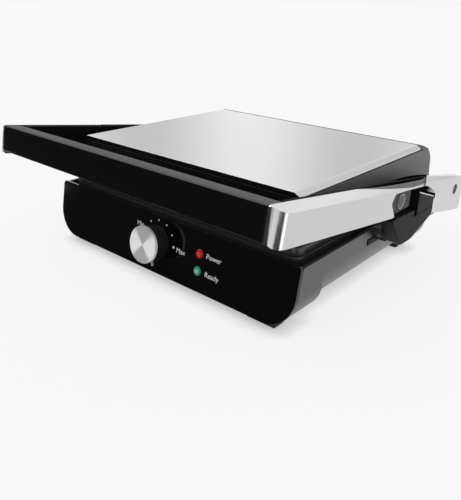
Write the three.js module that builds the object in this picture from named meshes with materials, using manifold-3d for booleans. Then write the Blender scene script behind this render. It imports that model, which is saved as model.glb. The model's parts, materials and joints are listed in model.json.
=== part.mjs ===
// Contact grill with a floating lid, a front handle bar and two hinged side arms.
// Millimetres. X points right, Y points back, Z points up from the feet.
// Y is zero at the top edge of the front panel until the last lines centre the model.
import * as THREE from 'three';
import { mergeVertices } from 'three/addons/utils/BufferGeometryUtils.js';
import Module from 'manifold-3d';

const wasm = await Module();
wasm.setup();

// Fits
const mergeDistance = 0.0001;
const fitGap = 0.3;
const overrun = 1;
const slideGap = 0.5;

// Base
const baseWidth = 330;
const baseRear = 240;
const baseHeight = 65;
const baseSideDrop = 2;
const baseWall = 2.5;
const baseCornerRadius = 30;
const baseSideRadius = 42;
const footHeight = 7;
const panelLean = THREE.MathUtils.degToRad(11.7);
const panelThickness = 3;
const panelFloorGap = 6;
const panelTopRadius = 4;

// Plates
const plateSideInset = 10;
const plateFront = 8;
const plateRearInset = 8;
const plateHeight = 7.7;
const plateCornerRadius = 9;
const plateWall = 3;
const plateFloor = 3.2;
const platePartingGap = 0.8;
const plateRise = 1;
const ribPitch = 12;
const ribWidth = 5;
const ribHeight = 2.4;
const ribMargin = 14;
const drainLength = 24;
const drainWidth = 5;

// Deck under the lower plate
const deckThickness = 2;
const deckFront = 3;
const deckRimWidth = 20;
const deckRearRimWidth = 16;
const deckFrontRimWidth = 27;

// Heaters and shields
const heaterRadius = 3.5;
const heaterSideInset = 50;
const heaterFront = 58;
const heaterRearInset = 41;
const heaterBendRadius = 22;
const heaterLeadSpacing = 60;
const heaterGap = 0.5;
const shieldSheet = 1;
const shieldDepth = 13;
const shieldFlange = 5;
const shieldSideGap = 2;

// Knob, thermostat and lamps on the panel, down from its top edge in shares of its height
const knobX = -1.5;
const knobDownShare = 0.4661;
const knobRadius = 17.8;
const knobCapRadius = 18.4;
const knobHeight = 20;
const knobCapThickness = 3;
const knobDish = 0.8;
const knobRimWidth = 1.6;
const knobStandOff = 0.8;
const knobTopRadius = 1.2;
const knobBoreDepth = 9;
const shaftRadius = 3;
const thermostatWidth = 40;
const thermostatMargin = 13;
const thermostatDepth = 17;
const lampX = 55.2;
const powerLampDownShare = 0.3763;
const readyLampDownShare = 0.661;
const lampRadius = 4.7;
const lampDome = 1.4;
const lampDepth = 6;
const lampHolderWidth = 16;
const lampHolderMargin = 6;
const lampHolderDepth = 8;

// Feet
const footSideInset = 21;
const footWidth = 32;
const footFlare = 1.5;
const footRise = 5;
const footLength = 14;
const footFront = -4;
const footRearInset = 4;
const footRoundRadius = 2;
const podFrontLength = 32.5;
const podRearLength = 32;
const podEndRadius = 17;
const podSlant = 1;

// Rear services
const dripTrayFootRoom = 24;
const dripTrayLength = 134;
const dripTrayBottom = 10;
const dripTrayTop = 22;
const dripTrayWall = 1.6;
const dripTrayLipThickness = 3;
const dripTrayLipOverlap = 6;
const dripTrayLipRise = 1.5;
const glandZ = 34;
const glandRadius = 6.5;
const glandFlangeRadius = 9;
const glandFlangeThickness = 3;
const glandBoreRadius = 3.8;
const glandInside = 8;
const terminalTrayGap = 11;
const terminalWidth = 26;
const terminalRearRoom = 54;
const terminalLength = 24;
const terminalHeight = 13;

// Release buttons for the plates
const buttonLength = 21;
const buttonHeight = 6;
const buttonDepth = 6;
const buttonProud = 0.8;
const buttonTabDepth = 1.5;
const lowerButtonReach = 10;
const lowerButtonRise = -15;
const upperButtonY = 60;
const upperButtonRise = 15;

// Lid
const lidSideInset = 15;
const lidSideDraft = 2.5;
const lidFront = 18;
const lidRearReach = 31;
const lidRearRadius = 25;
const lidRearFall = 33;
const lidFrontRise = 51.7;
const lidRearRise = 47.4;
const lidCornerRadius = 10;
const lidRearCornerRadius = 4;
const lidWall = 2.5;
const lidPanelThickness = 4.6;
const lidPanelBevelWidth = 6;
const lidPanelBevelDrop = 3.5;
const lidPanelCornerRadius = 2.5;
const lidPanelInset = 1.2;
const lidStepDepth = 1.2;
const lidStepReach = 22;
const lidStepFrontRise = 31.5;
const lidStepRearRise = 11;

// Lid pivot on the arms
const pivotReach = 23;
const pivotRise = 25;
const studRadius = 5;
const studFlangeRadius = 9;
const studFlangeThickness = 3;
const pivotCapRadius = 7;
const pivotCapRingWidth = 1.6;
const pivotCapDish = 1;
const pivotCapThickness = 3.6;

// Handle bar
const barEndGap = 0.6;
const barFront = -58;
const barRise = 18.7;
const barHeight = 27;
const barDepth = 21.9;
const barLean = THREE.MathUtils.degToRad(12.5);
const barEdgeRadius = 2.4;
const handlePinRadius = 2.5;
const handlePinLength = 22;
const handlePinBite = 6;

// Arms
const armRoom = 8;
const armWidth = 12;
const armCornerRadius = 13;
const armFallShare = 0.16;
const armBottomDrop = 2.4;
const armBottomFallShare = 0.154;
const armBevelDrop = 4.2;
const tailStartRoom = 89;
const tailRampLength = 8;
const tailStepHeight = 3;
const tailSlant = 34;
const tailDeepRoom = 52;
const tailDeepRise = -7.5;
const tailReach = 21;
const tailEndTopRise = 15;
const tailEndBottomRise = -23.5;
const tailRoundRadius = 5;
const linerWidth = 6;
const linerDrop = 0.8;
const linerRise = 2;
const linerRearRoom = 45;

// Hinge at the tail of each arm
const hingeReach = 17;
const hingeRise = 5;
const hingePinRadius = 4;
const hingeHoleRadius = 5.5;
const hingePinHeadRadius = 5.1;
const hingePinHeadThickness = 2.2;
const hingePinHeadInset = 4.5;
const hingeBoreGap = 0.3;
const lugLength = 50;
const lugBottomRise = -22;
const lugRadius = 9;

// Notch in each arm, its black insert and the bracket head that stands in it
const notchFrontLead = 3;
const notchFrontRise = 29;
const notchShoulderReach = 6;
const notchShoulderRise = 37;
const notchTopReach = 29;
const notchTopRise = 34.5;
const notchRearTopReach = 19;
const notchRearTopRise = 28.5;
const notchRearRoom = 7;
const notchRearRise = 16;
const notchOpenReach = 10;
const insertDepth = 2.6;
const insertSlotRoom = 11;
const insertBottomRise = 15;

// Side brackets
const bracketGap = 0.3;
const bracketProud = 2;
const bracketPlateInset = 0.2;
const trimSetback = 0.4;
const trimRearReach = 12;
const trimRearLean = 3;
const bracketReach = 149;
const bracketFrontTopRise = 12;
const bracketSaddleReach = 10;
const bracketSaddleRise = 13;
const bracketHeadReach = 51;
const bracketHeadTopRise = 26.5;
const bracketHeadLength = 37;
const bracketRearTopRise = 13;
const bracketRearLowRise = -5;
const bracketToeReach = 45;
const bracketToeRise = -18.8;
const bracketHeelReach = 23;
const bracketHeelRise = -18.5;
const bracketInnerTopRise = -1.5;
const bracketTabReach = 7;
const bracketTabTopRise = -0.5;
const bracketTabLowRise = -8.5;
const bracketTabHeel = 10;
const bracketRimWidth = 3;
const trimRim = 1.4;
const leverBottomRise = 4;
const leverTravel = 6;

const halfBase = baseWidth / 2;
const plateRear = baseRear - plateRearInset;
const heaterRear = plateRear - heaterRearInset;
const footRearEnd = baseRear - footRearInset;
const terminalY = baseRear - terminalRearRoom;
const lidRear = baseRear + lidRearReach;
const lidPanelRear = lidRear - lidRearRadius;
const dripTrayFront = baseRear - dripTrayLength;
const hingeY = baseRear + hingeReach;
const tailEnd = hingeY + tailReach;
const lugFront = hingeY - lugLength;
const linerRear = hingeY - linerRearRoom;
const tailStart = hingeY - tailStartRoom;
const tailDeep = hingeY - tailDeepRoom;
const bracketFront = hingeY - bracketReach;
const bracketSaddle = bracketFront + bracketSaddleReach;
const bracketHeadFront = bracketFront + bracketHeadReach;
const bracketToe = bracketFront + bracketToeReach;
const bracketTab = bracketFront + bracketTabReach;
const bracketHeel = bracketFront + bracketHeelReach;
const notchFront = bracketFront - notchFrontLead;
const notchShoulder = notchFront + notchShoulderReach;
const notchOpenFront = notchFront + notchOpenReach;
const notchTop = notchFront + notchTopReach;
const insertRear = bracketHeadFront - insertSlotRoom;
const pivotY = notchFront + pivotReach;
const lowerButtonY = bracketFront + lowerButtonReach;
const plateWidth = baseWidth - 2 * plateSideInset;
const halfPlate = plateWidth / 2;
const heaterHalfWidth = halfPlate - heaterSideInset;
const footOuterX = halfBase - footSideInset;
const footInnerX = footOuterX - footWidth;
const dripTrayWidth = 2 * (footInnerX - dripTrayFootRoom);
const dripTrayLipWidth = dripTrayWidth + 2 * dripTrayLipOverlap;
const terminalX = dripTrayWidth / 2 + terminalTrayGap + terminalWidth / 2;
const glandX = terminalX;
const lidBottomWidth = baseWidth - 2 * lidSideInset;
const lidTopWidth = lidBottomWidth - 2 * lidSideDraft;
const baseSideHeight = baseHeight - baseSideDrop;
const panelHeight = baseHeight - panelFloorGap;
const knobDown = panelHeight * knobDownShare;
const powerLampDown = panelHeight * powerLampDownShare;
const readyLampDown = panelHeight * readyLampDownShare;
const thermostatHeight = panelHeight - 2 * thermostatMargin;
const plateTop = baseHeight + plateRise;
const plateBottom = plateTop - plateHeight;
const deckTop = plateBottom - fitGap;
const upperPlateBottom = plateTop + platePartingGap;
const upperPlateTop = upperPlateBottom + plateHeight;
const lidBottom = upperPlateTop + fitGap;
const pivotZ = plateTop + pivotRise;
const lidFrontHeight = plateTop + lidFrontRise;
const lidRearHeight = plateTop + lidRearRise;
const upperButtonZ = plateTop + upperButtonRise;
const tailDeepZ = plateTop + tailDeepRise;
const tailEndTopZ = plateTop + tailEndTopRise;
const tailEndBottomZ = plateTop + tailEndBottomRise;
const hingeZ = plateTop + hingeRise;
const lugBottom = plateTop + lugBottomRise;
const notchFrontZ = plateTop + notchFrontRise;
const notchShoulderZ = plateTop + notchShoulderRise;
const notchTopZ = plateTop + notchTopRise;
const notchRearTopZ = plateTop + notchRearTopRise;
const notchRearZ = plateTop + notchRearRise;
const insertBottomZ = plateTop + insertBottomRise;
const bracketFrontTopZ = plateTop + bracketFrontTopRise;
const bracketSaddleZ = plateTop + bracketSaddleRise;
const bracketHeadTopZ = plateTop + bracketHeadTopRise;
const bracketRearTopZ = plateTop + bracketRearTopRise;
const bracketRearLowZ = plateTop + bracketRearLowRise;
const bracketToeZ = plateTop + bracketToeRise;
const bracketHeelZ = plateTop + bracketHeelRise;
const bracketInnerTopZ = plateTop + bracketInnerTopRise;
const bracketTabTopZ = plateTop + bracketTabTopRise;
const bracketTabLowZ = plateTop + bracketTabLowRise;
const leverBottomZ = plateTop + leverBottomRise;
const lowerButtonZ = plateTop + lowerButtonRise;
const barTop = lidFrontHeight + barRise;
const armBottomFront = barTop - barHeight - armBottomDrop;
const bracketRear = bracketHeadFront + bracketHeadLength;
const notchRearTop = bracketHeadFront + notchRearTopReach;
const notchRear = bracketRear + notchRearRoom;
const armInnerX = halfBase + armRoom;
const armOuterX = armInnerX + armWidth;
const barHalfLength = armInnerX - barEndGap;
const insertOuterX = armOuterX - insertDepth;
const bracketPlateX = armInnerX + bracketPlateInset;
const bracketOuterX = armOuterX + bracketProud;
const linerOuterX = armInnerX - fitGap;
const linerInnerX = linerOuterX - linerWidth;
const curveSteps = 6;
const finerSteps = 8;
const roundSteps = 24;
const pinSteps = 12;

function material(color, roughness, metalness) {
  return new THREE.MeshStandardMaterial({ color, roughness, metalness });
}

const glossBlack = material(0x0b0b0d, 0.18, 0);
const satinBlack = material(0x1d1e20, 0.42, 0);
const housingBlack = material(0x3a3b3d, 0.35, 0.1);
const castSilver = material(0xc4c5c7, 0.38, 1);
const brushedSteel = material(0xcfd0d2, 0.3, 1);
const sheetSteel = material(0x9da0a3, 0.4, 1);
const coatedPlate = material(0x2b2b2d, 0.5, 0.3);
const heaterSteel = material(0x595b5e, 0.55, 0.9);
const ceramicWhite = material(0xe6e2d6, 0.6, 0);
const moulded = material(0x2a2b2d, 0.55, 0);
const redLens = material(0xd01a20, 0.12, 0);
const greenLens = material(0x3fae86, 0.12, 0);
const rubberBlack = material(0x161617, 0.8, 0);

// Solids are joined and cut as closed bodies and go back to buffer geometry.
function toSolid(geometry) {
  const plain = geometry.clone();
  plain.deleteAttribute('normal');
  plain.deleteAttribute('uv');
  const merged = mergeVertices(plain, mergeDistance);
  const vertProperties = new Float32Array(merged.attributes.position.array);
  const triVerts = new Uint32Array(merged.index.array);
  return new wasm.Manifold(new wasm.Mesh({ numProp: 3, vertProperties, triVerts }));
}

function toGeometry(solid) {
  const mesh = solid.getMesh();
  const geometry = new THREE.BufferGeometry();
  geometry.setAttribute('position', new THREE.BufferAttribute(new Float32Array(mesh.vertProperties), 3));
  geometry.setIndex(new THREE.BufferAttribute(new Uint32Array(mesh.triVerts), 1));
  geometry.computeVertexNormals();
  return geometry;
}

function cut(body, ...tools) {
  let result = toSolid(body);
  for (const tool of tools) {
    result = result.subtract(toSolid(tool));
  }
  return toGeometry(result);
}

function join(body, ...others) {
  let result = toSolid(body);
  for (const other of others) {
    result = result.add(toSolid(other));
  }
  return toGeometry(result);
}

function common(first, ...others) {
  let result = toSolid(first);
  for (const other of others) {
    result = result.intersect(toSolid(other));
  }
  return toGeometry(result);
}

function box(x0, x1, y0, y1, z0, z1) {
  const geometry = new THREE.BoxGeometry(x1 - x0, y1 - y0, z1 - z0);
  geometry.translate((x0 + x1) / 2, (y0 + y1) / 2, (z0 + z1) / 2);
  return geometry;
}

// A rectangle with round corners, one radius for the two low corners and one for the high ones.
function roundedOutline(x0, x1, y0, y1, lowRadius, highRadius = lowRadius) {
  const shape = new THREE.Shape();
  shape.moveTo(x0 + lowRadius, y0);
  shape.lineTo(x1 - lowRadius, y0);
  shape.absarc(x1 - lowRadius, y0 + lowRadius, lowRadius, -Math.PI / 2, 0);
  shape.lineTo(x1, y1 - highRadius);
  shape.absarc(x1 - highRadius, y1 - highRadius, highRadius, 0, Math.PI / 2);
  shape.lineTo(x0 + highRadius, y1);
  shape.absarc(x0 + highRadius, y1 - highRadius, highRadius, Math.PI / 2, Math.PI);
  shape.lineTo(x0, y0 + lowRadius);
  shape.absarc(x0 + lowRadius, y0 + lowRadius, lowRadius, Math.PI, 1.5 * Math.PI);
  return shape;
}

// A closed outline through the given corners, each with its own round.
function corneredOutline(corners) {
  const shape = new THREE.Shape();
  const count = corners.length;
  for (let index = 0; index < count; index += 1) {
    const [x, y, radius = 0] = corners[index];
    const here = new THREE.Vector2(x, y);
    const before = new THREE.Vector2(...corners[(index + count - 1) % count].slice(0, 2)).sub(here);
    const after = new THREE.Vector2(...corners[(index + 1) % count].slice(0, 2)).sub(here);
    const start = here.clone().add(before.setLength(radius));
    const end = here.clone().add(after.setLength(radius));
    if (index === 0) {
      shape.moveTo(start.x, start.y);
    } else {
      shape.lineTo(start.x, start.y);
    }
    if (radius > 0) {
      shape.quadraticCurveTo(x, y, end.x, end.y);
    }
  }
  shape.closePath();
  return shape;
}

function slab(shape, z0, z1, steps = curveSteps) {
  const settings = { depth: z1 - z0, bevelEnabled: false, curveSegments: steps };
  const geometry = new THREE.ExtrudeGeometry(shape, settings);
  geometry.translate(0, 0, z0);
  return geometry;
}

// An outline drawn in Y and Z, run along X.
function alongX(shape, x0, x1, steps = curveSteps) {
  const geometry = slab(shape, x0, x1, steps);
  const basis = new THREE.Matrix4().makeBasis(
    new THREE.Vector3(0, 1, 0),
    new THREE.Vector3(0, 0, 1),
    new THREE.Vector3(1, 0, 0),
  );
  geometry.applyMatrix4(basis);
  return geometry;
}

// An outline drawn in X and Z, run along Y.
function alongY(shape, y0, y1, steps = curveSteps) {
  const geometry = slab(shape, -y1, -y0, steps);
  geometry.rotateX(Math.PI / 2);
  return geometry;
}

// A turned profile of radius and height pairs, standing on Z.
function turned(profile, steps = roundSteps) {
  const points = profile.map(([radius, height]) => new THREE.Vector2(radius, height));
  const geometry = new THREE.LatheGeometry(points, steps);
  geometry.rotateX(Math.PI / 2);
  return geometry;
}

function turnedX(profile, y, z, steps = roundSteps) {
  const geometry = turned(profile, steps);
  geometry.rotateY(Math.PI / 2);
  geometry.translate(0, y, z);
  return geometry;
}

function rod(radius, z0, z1, steps = roundSteps) {
  return turned([[0, z0], [radius, z0], [radius, z1], [0, z1]], steps);
}

function rodX(radius, x0, x1, y, z, steps = roundSteps) {
  const geometry = rod(radius, x0, x1, steps);
  geometry.rotateY(Math.PI / 2);
  geometry.translate(0, y, z);
  return geometry;
}

function mirrored(geometry) {
  const copy = mergeVertices(geometry.clone());
  copy.scale(-1, 1, 1);
  const order = copy.index.array;
  for (let corner = 0; corner < order.length; corner += 3) {
    const swap = order[corner];
    order[corner] = order[corner + 1];
    order[corner + 1] = swap;
  }
  copy.computeVertexNormals();
  return copy;
}

function addPiece(group, name, geometry, finish) {
  const mesh = new THREE.Mesh(geometry, finish);
  mesh.name = name;
  group.add(mesh);
  return mesh;
}

function addPair(group, name, geometry, finish) {
  addPiece(group, `${name}_right`, geometry, finish);
  addPiece(group, `${name}_left`, mirrored(geometry), finish);
}

// The panel's own frame: X right, Y up the lean, Z out of its face.
const panelTurn = Math.PI / 2 - panelLean;

function ontoPanel(geometry) {
  geometry.rotateX(panelTurn);
  geometry.translate(0, 0, baseHeight);
  return geometry;
}

function tubOutline(inset, top, corner = baseSideRadius) {
  const half = halfBase - inset;
  const bottom = footHeight + inset;
  const radius = corner - inset;
  const shape = new THREE.Shape();
  shape.moveTo(-half, top);
  shape.lineTo(-half, bottom + radius);
  shape.absarc(-half + radius, bottom + radius, radius, Math.PI, 1.5 * Math.PI);
  shape.lineTo(half - radius, bottom);
  shape.absarc(half - radius, bottom + radius, radius, -Math.PI / 2, 0);
  shape.lineTo(half, top);
  shape.closePath();
  return shape;
}

const panelReach = baseHeight * Math.tan(panelLean) + panelThickness;

function frontCutter() {
  const back = -panelThickness - fitGap;
  const reach = panelReach + baseHeight;
  return ontoPanel(box(-baseWidth, baseWidth, -reach, reach, back, reach));
}

function buttonOutline(y, z, gap) {
  const halfLength = buttonLength / 2 + gap;
  const halfHeight = buttonHeight / 2 + gap;
  return roundedOutline(y - halfLength, y + halfLength, z - halfHeight, z + halfHeight, halfHeight / 2);
}

// The tub's lower edges stand out to the panel's own outline over each foot.
function tubPods() {
  const top = footHeight + baseSideRadius;
  const bottom = footHeight - overrun;
  const wide = alongY(tubOutline(0, top, baseCornerRadius), -panelReach, baseRear, finerSteps);
  const front = corneredOutline([
    [-panelReach - overrun, bottom],
    [podFrontLength, bottom, podEndRadius],
    [podFrontLength + podSlant, top + overrun],
    [-panelReach - overrun, top + overrun],
  ]);
  const rearStart = baseRear - podRearLength;
  const rear = corneredOutline([
    [baseRear + overrun, bottom],
    [baseRear + overrun, top + overrun],
    [rearStart - podSlant, top + overrun],
    [rearStart, bottom, podEndRadius],
  ]);
  return [front, rear].map((outline) => common(wide, alongX(outline, -baseWidth, baseWidth)));
}

function makeBaseHousing() {
  const trunk = alongY(tubOutline(0, baseSideHeight), -panelReach, baseRear, finerSteps);
  const outer = join(trunk, ...tubPods());
  const inside = tubOutline(baseWall, baseSideHeight + overrun);
  const inner = alongY(inside, -panelReach - overrun, baseRear - baseWall, finerSteps);
  const trayMouth = box(
    -dripTrayWidth / 2 - slideGap,
    dripTrayWidth / 2 + slideGap,
    baseRear - baseWall - overrun,
    baseRear + overrun,
    dripTrayBottom - slideGap / 2,
    dripTrayTop + slideGap,
  );
  const glandHole = rod(glandRadius + fitGap, -baseRear - overrun, -baseRear + baseWall + overrun);
  glandHole.rotateX(Math.PI / 2);
  glandHole.translate(glandX, 0, glandZ);
  const buttonBack = halfBase - buttonDepth - overrun;
  const buttonShape = buttonOutline(lowerButtonY, lowerButtonZ, fitGap);
  const buttonHole = alongX(buttonShape, buttonBack, halfBase + overrun);
  const tabOutline = buttonOutline(lowerButtonY, lowerButtonZ, buttonTabDepth + fitGap);
  const buttonSeat = alongX(tabOutline, buttonBack, halfBase - baseWall);
  return cut(outer, inner, frontCutter(), trayMouth, glandHole, buttonHole, buttonSeat);
}

function makeFrontPanel() {
  const outline = roundedOutline(-halfBase, halfBase, -panelHeight, 0, baseCornerRadius, panelTopRadius);
  const sheet = slab(outline, -panelThickness, 0, finerSteps);
  const holes = [
    [knobX, knobDown, shaftRadius],
    [lampX, powerLampDown, lampRadius],
    [lampX, readyLampDown, lampRadius],
  ];
  const drills = holes.map(([x, down, radius]) => {
    const drill = rod(radius + fitGap, -panelThickness - overrun, overrun);
    drill.translate(x, -down, 0);
    return drill;
  });
  return cut(sheet, ...drills);
}

function makeBaseDeck() {
  const side = halfBase - baseWall - fitGap;
  const rear = baseRear - baseWall - fitGap;
  const sheet = box(-side, side, deckFront, rear, deckTop - deckThickness, deckTop);
  const window = box(
    -side + deckRimWidth,
    side - deckRimWidth,
    deckFront + deckFrontRimWidth,
    rear - deckRearRimWidth,
    deckTop - deckThickness - overrun,
    deckTop + overrun,
  );
  const drainY = plateRear - plateWall - drainWidth;
  const drain = box(
    -drainLength / 2,
    drainLength / 2,
    drainY,
    drainY + drainWidth,
    deckTop - deckThickness - overrun,
    deckTop + overrun,
  );
  return cut(sheet, window, drain);
}

// A cast plate drawn with its grilling side up, from its seat at zero.
function makePlate(withDrain) {
  const rimOutline = roundedOutline(-halfPlate, halfPlate, plateFront, plateRear, plateCornerRadius);
  const innerOutline = roundedOutline(
    -halfPlate + plateWall,
    halfPlate - plateWall,
    plateFront + plateWall,
    plateRear - plateWall,
    plateCornerRadius - plateWall,
  );
  const blank = slab(rimOutline, 0, plateHeight, 4);
  const well = slab(innerOutline, plateFloor, plateHeight + overrun, 4);
  const tools = [well];
  if (withDrain) {
    const drainY = plateRear - plateWall - drainWidth;
    const halfDrain = drainLength / 2;
    tools.push(box(-halfDrain, halfDrain, drainY, drainY + drainWidth, -overrun, plateFloor + overrun));
  }
  const dish = cut(blank, ...tools);
  const ribs = [];
  const span = plateWidth - 2 * (plateWall + ribMargin);
  const count = Math.floor((span - ribWidth) / ribPitch) + 1;
  const first = -((count - 1) * ribPitch) / 2;
  const root = plateFloor - ribHeight / 4;
  for (let index = 0; index < count; index += 1) {
    const x = first + index * ribPitch;
    const outline = new THREE.Shape();
    outline.moveTo(x - ribWidth / 2, root);
    outline.lineTo(x + ribWidth / 2, root);
    outline.lineTo(x + ribWidth / 4, plateFloor + ribHeight);
    outline.lineTo(x - ribWidth / 4, plateFloor + ribHeight);
    outline.closePath();
    ribs.push(alongY(outline, plateFront + plateWall + ribMargin, plateRear - plateWall - ribMargin));
  }
  return join(dish, ...ribs);
}

// The bent tube runs back, across and forward, with its two leads at the front.
function makeHeater(z) {
  const path = new THREE.CurvePath();
  const side = heaterHalfWidth;
  const lead = heaterLeadSpacing / 2;
  const bend = heaterBendRadius;
  const corners = [
    [-lead, heaterRear - bend * 2],
    [-lead, heaterFront],
    [-side, heaterFront],
    [-side, heaterRear],
    [side, heaterRear],
    [side, heaterFront],
    [lead, heaterFront],
    [lead, heaterRear - bend * 2],
  ].map(([x, y]) => new THREE.Vector3(x, y, z));
  let from = corners[0];
  for (let index = 1; index < corners.length - 1; index += 1) {
    const corner = corners[index];
    const into = corner.clone().add(corners[index - 1].clone().sub(corner).setLength(bend));
    const out = corner.clone().add(corners[index + 1].clone().sub(corner).setLength(bend));
    path.add(new THREE.LineCurve3(from, into));
    path.add(new THREE.QuadraticBezierCurve3(into, corner, out));
    from = out;
  }
  path.add(new THREE.LineCurve3(from, corners[corners.length - 1]));
  const section = new THREE.Shape();
  section.absarc(0, 0, heaterRadius, 0, 2 * Math.PI);
  const settings = { steps: 90, curveSegments: 4, bevelEnabled: false, extrudePath: path };
  return new THREE.ExtrudeGeometry(section, settings);
}

// A sheet tray with a flange, its flange top at zero and its floor below.
function makeShield() {
  const side = halfBase - baseWall - fitGap - deckRimWidth - shieldSideGap;
  const front = deckFront + deckFrontRimWidth + shieldSideGap;
  const rear = baseRear - baseWall - fitGap - deckRearRimWidth - shieldSideGap;
  const flange = box(
    -side - shieldFlange,
    side + shieldFlange,
    front - shieldFlange,
    rear + shieldFlange,
    -shieldSheet,
    0,
  );
  const pan = box(-side, side, front, rear, -shieldDepth, 0);
  const well = box(
    -side + shieldSheet,
    side - shieldSheet,
    front + shieldSheet,
    rear - shieldSheet,
    -shieldDepth + shieldSheet,
    overrun,
  );
  return cut(join(flange, pan), well);
}

function makeFoot() {
  const top = footHeight + footRise;
  const outline = corneredOutline([
    [footInnerX, 0, footRoundRadius],
    [footOuterX, 0, footRoundRadius],
    [footOuterX + footFlare, top - footRoundRadius, 0],
    [footOuterX + footFlare, top + footRise, 0],
    [footInnerX, top + footRise, 0],
  ]);
  const blank = alongY(outline, 0, footLength, 4);
  const pod = tubOutline(-fitGap, baseHeight, baseCornerRadius);
  const seat = alongY(pod, -overrun, footLength + overrun, 8);
  return cut(blank, seat);
}

function makeDripTray() {
  const half = dripTrayWidth / 2;
  const body = box(-half, half, dripTrayFront, baseRear + dripTrayLipThickness, dripTrayBottom, dripTrayTop);
  const well = box(
    -half + dripTrayWall,
    half - dripTrayWall,
    dripTrayFront + dripTrayWall,
    baseRear - baseWall - fitGap,
    dripTrayBottom + dripTrayWall,
    dripTrayTop + overrun,
  );
  const lip = box(
    -dripTrayLipWidth / 2,
    dripTrayLipWidth / 2,
    baseRear + fitGap,
    baseRear + fitGap + dripTrayLipThickness,
    dripTrayBottom - dripTrayLipRise,
    dripTrayTop + dripTrayLipRise,
  );
  return cut(join(body, lip), well);
}

function makeGland() {
  const flangeTop = glandFlangeThickness + fitGap;
  const gland = turned([
    [glandBoreRadius, -baseWall - glandInside],
    [glandRadius, -baseWall - glandInside],
    [glandRadius, fitGap],
    [glandFlangeRadius, fitGap],
    [glandFlangeRadius, flangeTop],
    [glandBoreRadius, flangeTop],
    [glandBoreRadius, -baseWall - glandInside],
  ]);
  gland.rotateX(-Math.PI / 2);
  return gland;
}

const base = new THREE.Group();
addPiece(base, 'base_housing', makeBaseHousing(), housingBlack);
addPiece(base, 'base_deck', makeBaseDeck(), moulded);
const lowerPlate = addPiece(base, 'lower_grill_plate', makePlate(true), coatedPlate);
lowerPlate.position.set(0, 0, plateBottom);
addPiece(base, 'lower_heating_element', makeHeater(plateBottom - heaterGap - heaterRadius), heaterSteel);
const lowerShield = addPiece(base, 'lower_heat_shield', makeShield(), sheetSteel);
lowerShield.position.set(0, 0, deckTop - deckThickness - fitGap);
addPiece(base, 'drip_tray', makeDripTray(), moulded);
const gland = addPiece(base, 'cord_gland', makeGland(), rubberBlack);
gland.position.set(glandX, baseRear, glandZ);
const floorTop = footHeight + baseWall;
const terminal = addPiece(
  base,
  'terminal_block',
  new THREE.BoxGeometry(terminalWidth, terminalLength, terminalHeight),
  ceramicWhite,
);
terminal.position.set(terminalX, terminalY, floorTop + fitGap + terminalHeight / 2);

const footPlaces = [
  ['front_left_foot', -1, footFront],
  ['front_right_foot', 1, footFront],
  ['rear_left_foot', -1, footRearEnd - footLength],
  ['rear_right_foot', 1, footRearEnd - footLength],
];
for (const [name, side, y] of footPlaces) {
  const shape = makeFoot();
  const foot = addPiece(base, name, side > 0 ? shape : mirrored(shape), rubberBlack);
  foot.position.set(0, y, 0);
}

function makeLowerButton() {
  const face = alongX(
    buttonOutline(lowerButtonY, lowerButtonZ, 0),
    halfBase - buttonDepth,
    halfBase + buttonProud,
  );
  const tab = alongX(
    buttonOutline(lowerButtonY, lowerButtonZ, buttonTabDepth),
    halfBase - buttonDepth,
    halfBase - baseWall - fitGap,
  );
  return join(face, tab);
}

addPiece(base, 'lower_plate_button', makeLowerButton(), satinBlack);

// Front panel with knob, thermostat and lamps
const panel = new THREE.Group();
panel.position.set(0, 0, baseHeight);
panel.rotation.x = panelTurn;
base.add(panel);
addPiece(panel, 'front_panel', makeFrontPanel(), glossBlack);
const behindPanel = -panelThickness - fitGap;

function makeThermostat() {
  const body = box(
    -thermostatWidth / 2,
    thermostatWidth / 2,
    -thermostatHeight / 2,
    thermostatHeight / 2,
    behindPanel - thermostatDepth,
    behindPanel,
  );
  const bore = rod(shaftRadius + fitGap, behindPanel - thermostatDepth / 2, overrun);
  return cut(body, bore);
}

const thermostat = addPiece(panel, 'thermostat_body', makeThermostat(), moulded);
thermostat.position.set(knobX, -knobDown, 0);

const shaftEnd = knobStandOff + knobBoreDepth - fitGap;
const shaft = addPiece(
  panel,
  'thermostat_shaft',
  rod(shaftRadius, behindPanel - thermostatDepth / 2 + fitGap, shaftEnd),
  sheetSteel,
);
shaft.position.copy(thermostat.position);

function makeKnobBody() {
  const top = knobHeight - knobCapThickness - fitGap;
  const bore = shaftRadius + fitGap;
  return turned([
    [0, knobStandOff + knobBoreDepth],
    [bore, knobStandOff + knobBoreDepth],
    [bore, knobStandOff],
    [knobRadius, knobStandOff],
    [knobRadius, top],
    [0, top],
  ], 48);
}

function makeKnobCap() {
  const low = knobHeight - knobCapThickness;
  return turned([
    [0, low],
    [knobCapRadius, low],
    [knobCapRadius, knobHeight - knobTopRadius],
    [knobCapRadius - knobTopRadius, knobHeight],
    [knobCapRadius - knobTopRadius - knobRimWidth, knobHeight],
    [knobCapRadius - knobTopRadius - knobRimWidth - knobDish, knobHeight - knobDish],
    [0, knobHeight - knobDish],
  ], 48);
}

const knobBody = addPiece(panel, 'knob_body', makeKnobBody(), satinBlack);
knobBody.position.copy(thermostat.position);
const knobCap = addPiece(panel, 'knob_cap', makeKnobCap(), brushedSteel);
knobCap.position.copy(thermostat.position);

function makeLens() {
  const profile = [[0, -lampDepth], [lampRadius, -lampDepth], [lampRadius, 0]];
  const rings = 4;
  for (let ring = 1; ring <= rings; ring += 1) {
    const angle = (ring / rings) * Math.PI / 2;
    profile.push([ring === rings ? 0 : lampRadius * Math.cos(angle), lampDome * Math.sin(angle)]);
  }
  return turned(profile);
}

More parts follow.
